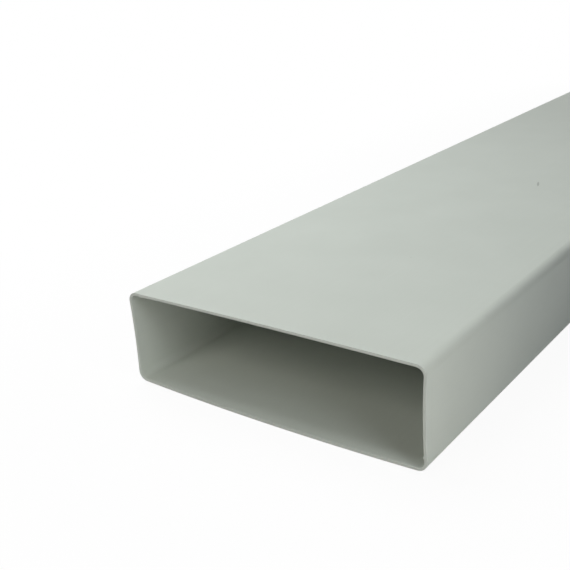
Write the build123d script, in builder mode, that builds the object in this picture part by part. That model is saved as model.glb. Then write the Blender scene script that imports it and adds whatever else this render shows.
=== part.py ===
"""Flat rectangular ventilation duct: one straight length of extruded PVC, sawn square at both ends.

The duct lies on its wide bottom wall. X runs across the width, Y along the length and Z up,
and the origin is on the floor under the middle of the duct.
"""

import os

from build123d import *

# Driving dimensions, in millimetres
LENGTH = 1000.0  # one stock length
WIDTH = 204.0  # outside, over the rounded corners
HEIGHT = 60.0  # outside, over the rounded corners
WALL = 1.7  # the same all round
CORNER_RADIUS = 6.0  # outside
BOTTOM_BOW = 2.0  # how far the middle of the bottom wall stands out below its corners
TOP_BOW = 0.5  # how far the middle of the top wall stands out above its corners
SIDE_BOW = 0.65  # how far the middle of each side wall stands in from its corners

# The corners' centres, measured from the lowest line of the bottom wall
corner_x = WIDTH / 2 - CORNER_RADIUS
bottom_corner_z = BOTTOM_BOW + CORNER_RADIUS
top_corner_z = BOTTOM_BOW + HEIGHT - CORNER_RADIUS
middle_z = (bottom_corner_z + top_corner_z) / 2

bottom_left = (-corner_x, bottom_corner_z)
bottom_right = (corner_x, bottom_corner_z)
top_right = (corner_x, top_corner_z)
top_left = (-corner_x, top_corner_z)

# The duct: a closed section with four gently bowed walls, drawn out along the length
with BuildPart() as duct_section:
    with BuildSketch(Plane.XZ) as section:
        # A frame of four shallow arcs through the corners' centres carries every wall's bow
        with BuildLine():
            ThreePointArc(bottom_left, (0, bottom_corner_z - BOTTOM_BOW), bottom_right)
            ThreePointArc(bottom_right, (corner_x - SIDE_BOW, middle_z), top_right)
            ThreePointArc(top_right, (0, top_corner_z + TOP_BOW), top_left)
            ThreePointArc(top_left, (SIDE_BOW - corner_x, middle_z), bottom_left)
        make_face()
        # The outside stands one corner radius off that frame, so its corners come out round
        offset(amount=CORNER_RADIUS)
        # The air path is the outside taken in by the wall
        offset(amount=-WALL, mode=Mode.SUBTRACT)
    extrude(amount=LENGTH / 2, both=True)

duct_section.part.label = "duct_section"
os.makedirs("parts", exist_ok=True)
export_step(duct_section.part, "parts/duct_section.step")
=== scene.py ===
"""One stock length of flat rectangular PVC duct on a white studio floor, seen past its near end."""

from math import cos, pi, radians, sin

import bpy
import numpy as np
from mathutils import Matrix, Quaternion, Vector


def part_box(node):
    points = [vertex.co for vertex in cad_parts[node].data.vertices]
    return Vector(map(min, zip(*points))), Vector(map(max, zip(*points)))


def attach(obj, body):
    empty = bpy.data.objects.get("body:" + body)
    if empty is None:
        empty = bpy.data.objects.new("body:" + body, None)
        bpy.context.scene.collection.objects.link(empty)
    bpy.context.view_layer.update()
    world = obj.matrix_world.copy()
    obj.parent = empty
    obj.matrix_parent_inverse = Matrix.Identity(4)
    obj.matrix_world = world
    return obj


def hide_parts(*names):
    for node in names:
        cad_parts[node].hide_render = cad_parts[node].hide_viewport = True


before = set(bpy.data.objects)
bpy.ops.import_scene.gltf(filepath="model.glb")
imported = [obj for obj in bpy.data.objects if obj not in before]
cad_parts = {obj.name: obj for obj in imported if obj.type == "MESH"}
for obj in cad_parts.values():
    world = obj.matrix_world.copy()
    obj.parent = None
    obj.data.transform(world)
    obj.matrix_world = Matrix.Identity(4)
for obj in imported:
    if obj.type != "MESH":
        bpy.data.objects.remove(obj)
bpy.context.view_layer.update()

# The duct is one thin-walled tube of rigid PVC, coloured a pale grey-green right through.
# It is drawn through a die and cooled in a sizing box, which leaves its walls slightly bowed, and
# it is sawn square at both ends, with a little burr left on the near end's inner edge.

# Sizes are in metres. A bow is how far a wall's middle stands out, and below 0 it stands in.
duct_low, duct_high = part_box("duct_section")
length = duct_high.y - duct_low.y
width = 0.204
height = 0.060
wall = 0.0017
corner_radius = 0.006
bottom_bow = 0.002
top_bow = 0.0005
side_bow = -0.00065
sawn_edge_radius = 0.00012

# Each bit of the burr has a height that it hangs by, a half width and a middle along the edge.
right_nib_height = 0.0009
right_nib_half = 0.0006
right_nib_z = 0.0107
left_nib_height = 0.0006
left_nib_half = 0.0008
left_nib_x = -0.0912
ragged_height = 0.0003
ragged_half = 0.009
ragged_x = -0.084
ragged_wave = 0.0006
ragged_ripple = 0.00037
burr_root = 0.0004

# The top and right walls have fine steps for the burr on their edges.
bottom_steps = 120
right_steps = 96
top_steps = 320
left_steps = 48
corner_steps = 16
length_steps = 24
rim_steps = 6
sawn_edge_steps = 4


def bowed_outline(low, high, bows, places, turn_steps):
    """Points and normals round a rectangle of bowed walls, anticlockwise from its lower left.

    At a place s from -1 to 1 a wall of half length c and bow b is c s along from its middle and
    b (1 - s s) further out, and its normal leans by atan(2 b s / c). At a corner the point stays
    and the normal swings evenly from one wall's last lean to the next wall's first, a quarter
    turn on.
    """
    middle = (low + high) / 2
    half = (high - low) / 2
    walls = []
    angles = []
    for side, (bow, place) in enumerate(zip(bows, places)):
        turn = side * pi / 2
        along = np.array([np.cos(turn), np.sin(turn)]).round()
        out = np.array([along[1], -along[0]])
        half_length = abs(along @ half)
        reach = abs(out @ half) + bow * (1 - place**2)
        walls.append(middle + np.outer(half_length * place, along) + np.outer(reach, out))
        angles.append(turn - pi / 2 + np.arctan(2 * bow * place / half_length))
    points = []
    headings = []
    for side in range(4):
        after = (side + 1) % 4
        next_angle = angles[after][0] + 2 * pi * (after == 0)
        swing = np.linspace(angles[side][-1], next_angle, turn_steps + 1)[1:-1]
        points += [walls[side], np.tile(walls[side][-1], (turn_steps - 1, 1))]
        headings += [angles[side], swing]
    heading = np.concatenate(headings)
    return np.concatenate(points), np.stack([np.cos(heading), np.sin(heading)], axis=1)


def even(steps):
    """Evenly spaced places along a wall, from -1 to 1."""
    return np.linspace(-1, 1, steps + 1)


def close_at_ends(steps):
    """Places that crowd towards both ends of a wall: 1 less the cube of 1 less an even place."""
    place = even(steps)
    return np.sign(place) * (1 - (1 - np.abs(place)) ** 3)


def bell(place, middle, half):
    """A bell curve, 1 at its middle: exp(-((place - middle) / half) squared)."""
    return np.exp(-(((place - middle) / half) ** 2))


def burr_height(x, z):
    """How far the saw's burr hangs into the opening, from places on the near end's inner edge.

    Two nibs are bell curves, on the right wall and on the top wall, and a ragged stretch beside the
    second is a product of two sine waves under a wider bell curve.
    """
    on_right = x > width / 2 - corner_radius
    on_top = z > bottom_bow + height / 2
    right_nib = right_nib_height * bell(z, right_nib_z, right_nib_half) * on_right
    left_nib = left_nib_height * bell(x, left_nib_x, left_nib_half) * on_top
    waves = (0.5 + 0.5 * np.sin(x / ragged_wave)) * (0.6 + 0.4 * np.sin(x / ragged_ripple + 1))
    ragged = ragged_height * waves * bell(x, ragged_x, ragged_half) * on_top
    return right_nib + left_nib + ragged


def duct_wall():
    """Points and normals of the whole tube, as one grid that closes both ways.

    The first parameter walks round the section, along a bowed outline through the corners'
    centres. The second walks round the wall's own thickness: back along the inside, over the far
    rim, out along the outside and over the near rim. A point is the outline's point moved along
    the outline's normal by the corner radius less its depth in the wall. The burr adds depth at
    the near end's inner edge, fading along the wall as exp(-distance / root) and over the rim as
    depth squared.
    """
    corner_low = np.array([corner_radius - width / 2, bottom_bow + corner_radius])
    corner_high = np.array([width / 2 - corner_radius, bottom_bow + height - corner_radius])
    centres, out = bowed_outline(
        corner_low,
        corner_high,
        (bottom_bow, side_bow, top_bow, side_bow),
        (even(bottom_steps), even(right_steps), even(top_steps), even(left_steps)),
        corner_steps,
    )
    edge_low = np.array([sawn_edge_radius - length / 2, sawn_edge_radius - wall])
    edge_high = np.array([length / 2 - sawn_edge_radius, -sawn_edge_radius])
    wall_places = close_at_ends(length_steps)
    rim_places = even(rim_steps)
    edge_centres, facing = bowed_outline(
        edge_low,
        edge_high,
        (0, 0, 0, 0),
        (wall_places, rim_places, wall_places, rim_places),
        sawn_edge_steps,
    )
    place_along, level = (edge_centres + sawn_edge_radius * facing).T
    inner_edge = centres + out * (corner_radius - wall)
    burr_share = np.exp(-(place_along + length / 2) / burr_root) * (level / wall) ** 2
    reach = corner_radius + level - np.outer(burr_height(*inner_edge.T), burr_share)
    points = np.stack(
        [
            centres[:, :1] + out[:, :1] * reach,
            np.tile(place_along, (len(centres), 1)),
            centres[:, 1:] + out[:, 1:] * reach,
        ],
        axis=2,
    )
    normals = np.stack(
        [
            out[:, :1] * facing[:, 1],
            np.tile(facing[:, 0], (len(centres), 1)),
            out[:, 1:] * facing[:, 1],
        ],
        axis=2,
    )
    return points, normals


def closed_grid_faces(rows, columns):
    """The quads of a grid whose last row joins its first and whose last column joins its first."""
    index = np.arange(rows * columns).reshape(rows, columns)
    below = np.roll(index, -1, axis=0)
    corners = [index, below, np.roll(below, -1, axis=1), np.roll(index, -1, axis=1)]
    return np.stack(corners, axis=2).reshape(-1, 4)


# The sawn attribute is 1 on the rims, 0 on the skin and in between on the softened edges.
points, normals = duct_wall()
duct_mesh = bpy.data.meshes.new("duct_section_wall")
duct_mesh.from_pydata(points.reshape(-1, 3), [], closed_grid_faces(*points.shape[:2]))
duct_mesh.polygons.foreach_set("use_smooth", np.ones(len(duct_mesh.polygons), bool))
duct_mesh.normals_split_custom_set_from_vertices(normals.reshape(-1, 3))
sawn = duct_mesh.attributes.new("sawn", "FLOAT", "POINT")
sawn.data.foreach_set("value", np.abs(normals[..., 1]).ravel().astype(np.float32))
duct = bpy.data.objects.new("duct_wall", duct_mesh)
bpy.context.scene.collection.objects.link(duct)

pvc_pale = (0.593, 0.632, 0.579, 1)
pvc_deep = (0.537, 0.576, 0.523, 1)
pvc_rubbed = (0.640, 0.668, 0.630, 1)
pvc_sawn = (0.600, 0.635, 0.590, 1)
pvc_speck = (0.270, 0.290, 0.260, 1)
skin_roughness = 0.55
sawn_roughness = 0.75
specular_level = 0.2

# A share is how far a mark moves the colour, and a depth is the height of its relief in metres.
even_tone = 0.5
blotch_share = 0.8
die_line_share = 0.45
die_line_dulling = 0.08
die_line_depth = 8e-6
grain_depth = 2e-6
rub_share = 0.25
rub_dulling = 0.08
corner_share = 0.15
corner_polish = 0.05

# The blade is a large disc with its middle below the duct, and it whitens the skin beside its cut.
saw_centre_z = -0.22
saw_mark_spacing = 0.0006
saw_mark_share = 0.45
saw_mark_depth = 12e-6
whitened_reach = 0.0012
whitened_share = 0.3

# The two specks on the top wall have their middles and half sizes across and along the duct.
dark_speck_place = (0.0281, -0.1755)
dark_speck_half = (0.0011, 0.0080)
dark_speck_share = 0.7
faint_speck_place = (0.0217, -0.3709)
faint_speck_half = (0.0008, 0.0016)
faint_speck_share = 0.14
speck_lean = radians(20)
speck_core = 0.1


class Shade:
    """One output of a shader node. Sums and products of it add Math nodes to the same material."""

    def __init__(self, tree, socket=None):
        self.tree = tree
        self.socket = socket

    def node(self, kind, settings=(), sockets=(), out=0):
        """A new node: its settings are made first, then its sockets get their values or links."""
        made = self.tree.nodes.new("ShaderNode" + kind)
        for name, value in dict(settings).items():
            setattr(made, name, value)
        for name, value in dict(sockets).items():
            if isinstance(value, Shade):
                self.tree.links.new(value.socket, made.inputs[name])
            else:
                made.inputs[name].default_value = value
        return Shade(self.tree, made.outputs[out] if made.outputs else None)

    def output(self, name):
        """Another output of the same node."""
        return Shade(self.tree, self.socket.node.outputs[name])

    def math(self, operation, first, second=0.0):
        """One Math node on two values."""
        return self.node("Math", {"operation": operation}, {0: first, 1: second})

    def __add__(self, other):
        return self.math("ADD", self, other)

    __radd__ = __add__

    def __mul__(self, other):
        return self.math("MULTIPLY", self, other)

    __rmul__ = __mul__

    def __sub__(self, other):
        return self.math("SUBTRACT", self, other)

    def __rsub__(self, other):
        return self.math("SUBTRACT", other, self)

    def __abs__(self):
        return self.math("ABSOLUTE", self)

    def between(self, low, high):
        """0 at low, 1 at high, with a smooth step from one to the other."""
        ends = {"Value": self, "From Min": low, "From Max": high}
        return self.node("MapRange", {"interpolation_type": "SMOOTHSTEP"}, ends)

    def mix(self, first, second):
        """The first colour where this value is 0 and the second where it is 1."""
        return self.node("Mix", {"data_type": "RGBA"}, {0: self, 6: first, 7: second}, out=2)


def new_material(name):
    """An empty material and the wrapper that adds nodes to it."""
    material = bpy.data.materials.new(name)
    material.use_nodes = True
    material.node_tree.nodes.clear()
    return material, Shade(material.node_tree)


def cloudy(place, per_metre, lengthwise=1, turn=0.0, detail=2.0):
    """Soft random values round 0.5, so many to a metre across the duct.

    Along the duct there are lengthwise times as many, so a small value draws them out into streaks.
    The turn slants them on the duct's top, and the detail adds finer clouds to them.
    """
    turned = {"Vector": place, "Rotation": (0, 0, turn), "Scale": (1, lengthwise, 1)}
    spread = place.node("Mapping", sockets=turned)
    return place.node("TexNoise", sockets={"Vector": spread, "Scale": per_metre, "Detail": detail})


def handling_rubs(place):
    """Rubs from handling: streaks at two slants, added, times the soft patches they show in."""
    patches = cloudy(place, per_metre=9).between(0.52, 0.66)
    long_rubs = cloudy(place, per_metre=420, lengthwise=0.02, turn=radians(14)).between(0.68, 0.76)
    cross_rubs = cloudy(place, per_metre=380, lengthwise=0.03, turn=radians(-33)).between(0.7, 0.78)
    return (long_rubs + cross_rubs) * patches


def rounded_corners(across, up):
    """1 out on the four rounded corners: a smooth step across the width times one up the height."""
    past_wall = abs(across).between(width / 2 - corner_radius, width / 2)
    from_middle = abs(up - (bottom_bow + height / 2))
    return past_wall * from_middle.between(height / 2 - corner_radius, height / 2)


def saw_rings(place):
    """The blade's marks, from 0 to 1: waves that run out in slightly uneven rings from its middle.

    At scale 1 the texture's waves are 2 pi / 20 apart, so the scale is that over their spacing.
    """
    from_blade = place.node("Mapping", sockets={"Vector": place, "Location": (0, 0, -saw_centre_z)})
    rings = {
        "Vector": from_blade,
        "Scale": 2 * pi / (20 * saw_mark_spacing),
        "Distortion": 1.5,
        "Detail Scale": 0.4,
    }
    return place.node("TexWave", {"wave_type": "RINGS", "rings_direction": "Y"}, rings, out="Fac")


def oval_speck(across, along, middle, half):
    """1 in the core of an oval that leans away from the length, fading to 0 at its edge.

    The fade follows the squared radius, (u / half width)^2 + (v / half length)^2.
    """
    from_x = across - middle[0]
    from_y = along - middle[1]
    u = (from_x * cos(speck_lean) + from_y * sin(speck_lean)) * (1 / half[0])
    v = (from_y * cos(speck_lean) - from_x * sin(speck_lean)) * (1 / half[1])
    return 1 - (u * u + v * v).between(speck_core, 1)


def pvc_finish():
    """Grey-green PVC: a satin skin with faint die lines along the length, and duller sawn rims.

    Blotches and die lines move the skin between its two tones. Rubs, the rounded corners and the
    whitened border turn it paler, the rims take the sawn colour along the saw's marks, and the
    specks darken it. The relief is the sum of the die lines, the grain and the saw's marks.
    """
    material, add = new_material("pvc")
    place = add.node("TexCoord", out="Object")
    across = place.node("SeparateXYZ", sockets={0: place}, out="X")
    along = across.output("Y")
    up = across.output("Z")
    rim = add.node("Attribute", {"attribute_name": "sawn"}, out="Fac").between(0.5, 0.95)
    skin = 1 - rim

    blotches = cloudy(place, per_metre=24, detail=4)
    die_lines = cloudy(place, per_metre=850, lengthwise=0.003, detail=3)
    grain = cloudy(place, per_metre=2400)
    rubs = handling_rubs(place) * skin
    corners = rounded_corners(across, up)
    whitened = abs(along).between(length / 2 - whitened_reach, length / 2) * skin
    saw_marks = saw_rings(place)
    top_skin = up.between(bottom_bow + height - wall, bottom_bow + height - wall / 2) * skin
    dark_speck = oval_speck(across, along, dark_speck_place, dark_speck_half) * top_skin
    faint_speck = oval_speck(across, along, faint_speck_place, faint_speck_half) * top_skin

    tone = even_tone + (blotches - even_tone) * blotch_share
    tone = tone + (die_lines - even_tone) * die_line_share
    colour = tone.mix(pvc_deep, pvc_pale)
    paler = rubs * rub_share + corners * corner_share + whitened * whitened_share
    colour = paler.mix(colour, pvc_rubbed)
    marked_rim = rim * (1 - saw_mark_share + saw_marks * saw_mark_share)
    colour = marked_rim.mix(colour, pvc_sawn)
    specks = dark_speck * dark_speck_share + faint_speck * faint_speck_share
    colour = specks.mix(colour, pvc_speck)

    roughness = skin_roughness + rubs * rub_dulling - corners * corner_polish
    roughness = roughness + (die_lines - even_tone) * die_line_dulling
    roughness = roughness + rim * (sawn_roughness - skin_roughness)

    relief = die_lines * skin * die_line_depth + grain * grain_depth
    relief = relief + saw_marks * rim * saw_mark_depth
    normal = add.node("Bump", sockets={"Distance": 1.0, "Height": relief})
    body = add.node(
        "BsdfPrincipled",
        sockets={
            "Base Color": colour,
            "Roughness": roughness,
            "Normal": normal,
            "Specular IOR Level": specular_level,
        },
    )
    add.node("OutputMaterial", sockets={"Surface": body})
    return material


duct_mesh.materials.append(pvc_finish())
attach(duct, "root")
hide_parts("duct_section")

# The floor is a wide sheet of white studio paper that the duct lies on.
# It shows as plain white, and keeps the duct's soft shadow close by.

# The bounce is what the paper gives back to the duct, and a share of lit paper holds the shadow.
floor_half = 8.0
floor_bounce = (0.6, 0.6, 0.6, 1)
floor_paper = (0.95, 0.95, 0.95, 1)
shadow_share = 0.06
shadow_reach = 0.30


def seen_directly(add):
    """1 for what the camera sees, also in a gloss or through glass, and 0 for light on its way."""
    path = add.node("LightPath", out="Is Camera Ray")
    seen = path.math("MAXIMUM", path, path.output("Is Glossy Ray"))
    return path.math("MAXIMUM", seen, path.output("Is Transmission Ray"))


def floor_finish():
    """White paper: white to the eye and dim to the lamps, with a share of lit paper near the duct.

    The share falls to 0 over the shadow's reach, by the distance from the duct's outline on the
    floor: the root of the squared distances past its side and past its end.
    """
    material, add = new_material("studio_paper")
    place = add.node("TexCoord", out="Object")
    across = place.node("SeparateXYZ", sockets={0: place}, out="X")
    past_side = place.math("MAXIMUM", abs(across) - width / 2, 0.0)
    past_end = place.math("MAXIMUM", abs(across.output("Y")) - length / 2, 0.0)
    away = place.math("SQRT", past_side * past_side + past_end * past_end)
    share = (1 - away.between(0, shadow_reach)) * shadow_share
    lit_paper = add.node("BsdfDiffuse", sockets={"Color": floor_paper})
    white = add.node("Emission", sockets={"Strength": 1.0})
    shown = add.node("MixShader", sockets={0: share, 1: white, 2: lit_paper})
    bounce = add.node("BsdfDiffuse", sockets={"Color": floor_bounce})
    both = add.node("MixShader", sockets={0: seen_directly(add), 1: bounce, 2: shown})
    add.node("OutputMaterial", sockets={"Surface": both})
    return material


floor_mesh = bpy.data.meshes.new("studio_floor")
floor_mesh.from_pydata(
    [(x * floor_half, y * floor_half, 0) for x, y in ((-1, -1), (1, -1), (1, 1), (-1, 1))],
    [],
    [(0, 1, 2, 3)],
)
floor_mesh.materials.append(floor_finish())
floor = bpy.data.objects.new("studio_floor", floor_mesh)
bpy.context.scene.collection.objects.link(floor)

# The studio is a white room, dim by itself, with flat soft lamps around the duct.
# The main one hangs over its left side and one stands before the near end. Three more light the
# right wall and the opening from the right, and three weak ones light the far half.

room_white = (1, 1, 1, 1)
room_light = 0.03


def studio_room():
    """White where it is seen, and a dim even light on the duct."""
    room = bpy.data.worlds.new("studio_room")
    room.use_nodes = True
    room.node_tree.nodes.clear()
    add = Shade(room.node_tree)
    dim = add.node("Background", sockets={"Color": room_white, "Strength": room_light})
    white = add.node("Background", sockets={"Color": room_white, "Strength": 1.0})
    both = add.node("MixShader", sockets={0: seen_directly(add), 1: dim, 2: white})
    add.node("OutputWorld", sockets={"Surface": both})
    return room


def soft_lamp(name, place, aim, size, watts, colour=(1, 1, 1), spread=180):
    """A flat rectangular lamp that faces its aim, its beam spread over so many degrees.

    The camera doesn't see it.
    """
    lamp_data = bpy.data.lights.new(name, "AREA")
    lamp_data.shape = "RECTANGLE"
    lamp_data.size, lamp_data.size_y = size
    lamp_data.energy = watts
    lamp_data.color = colour
    lamp_data.spread = radians(spread)
    lamp = bpy.data.objects.new(name, lamp_data)
    lamp.location = place
    lamp.rotation_mode = "QUATERNION"
    lamp.rotation_quaternion = (Vector(aim) - Vector(place)).to_track_quat("-Z", "Y")
    lamp.visible_camera = False
    bpy.context.scene.collection.objects.link(lamp)


warm = (1.05, 1.0, 0.94)
cool = (0.94, 1.0, 1.055)
near_white = (0.98, 1.0, 1.015)

bpy.context.scene.world = studio_room()
soft_lamp(
    "main_lamp", place=(-0.40, -0.30, 0.80), aim=(0, -0.35, 0), size=(0.7, 0.7),
    watts=3.74, colour=near_white, spread=140,
)
soft_lamp(
    "front_lamp", place=(-0.15, -1.40, 0.70), aim=(0, -0.4, 0), size=(0.6, 0.6),
    watts=3.88, colour=warm,
)
soft_lamp(
    "right_lamp", place=(0.70, -0.70, 0.45), aim=(0.1, -0.5, 0.03), size=(0.3, 0.3),
    watts=0.297, colour=cool, spread=80,
)
soft_lamp(
    "rim_lamp", place=(0.45, -0.62, 0.12), aim=(0, -0.54, 0.03), size=(0.2, 0.16),
    watts=0.054, colour=warm, spread=60,
)
soft_lamp(
    "low_lamp", place=(0.90, -0.60, 0.16), aim=(0, -0.52, 0.03), size=(0.2, 0.2),
    watts=0.016, colour=warm, spread=30,
)
soft_lamp(
    "far_left_lamp", place=(-0.75, 0.55, 0.30), aim=(-0.1, 0.55, 0.03), size=(0.5, 0.3),
    watts=0.42, spread=56,
)
soft_lamp(
    "far_right_lamp", place=(0.80, 0.26, 0.08), aim=(0.1, 0.26, 0.03), size=(0.6, 0.14),
    watts=0.16, spread=42,
)
soft_lamp(
    "back_lamp", place=(0.45, 1.30, 0.60), aim=(0, 0.6, 0.03), size=(0.5, 0.5),
    watts=0.5, spread=50,
)

# The camera stands to the right of the near end, above it, and looks down along the duct.
# Its place, roll and lens are those that the duct's edges give in the photograph.

camera_place = Vector((0.27817, -0.82788, 0.25168))
camera_aim = Vector((-0.02149, -0.44740, 0.06250))
camera_roll = radians(-3.952)
focal_pixels = 864.5
picture_pixels = 570

camera_data = bpy.data.cameras.new("camera")
camera_data.sensor_width = 36.0
camera_data.lens = camera_data.sensor_width * focal_pixels / picture_pixels
camera_data.clip_start = 0.01
camera = bpy.data.objects.new("camera", camera_data)
bpy.context.scene.collection.objects.link(camera)
camera.rotation_mode = "QUATERNION"
camera.location = camera_place
level_view = (camera_aim - camera_place).to_track_quat("-Z", "Y")
camera.rotation_quaternion = level_view @ Quaternion((0, 0, 1), camera_roll)
bpy.context.scene.camera = camera
bpy.context.scene.view_settings.view_transform = "Standard"
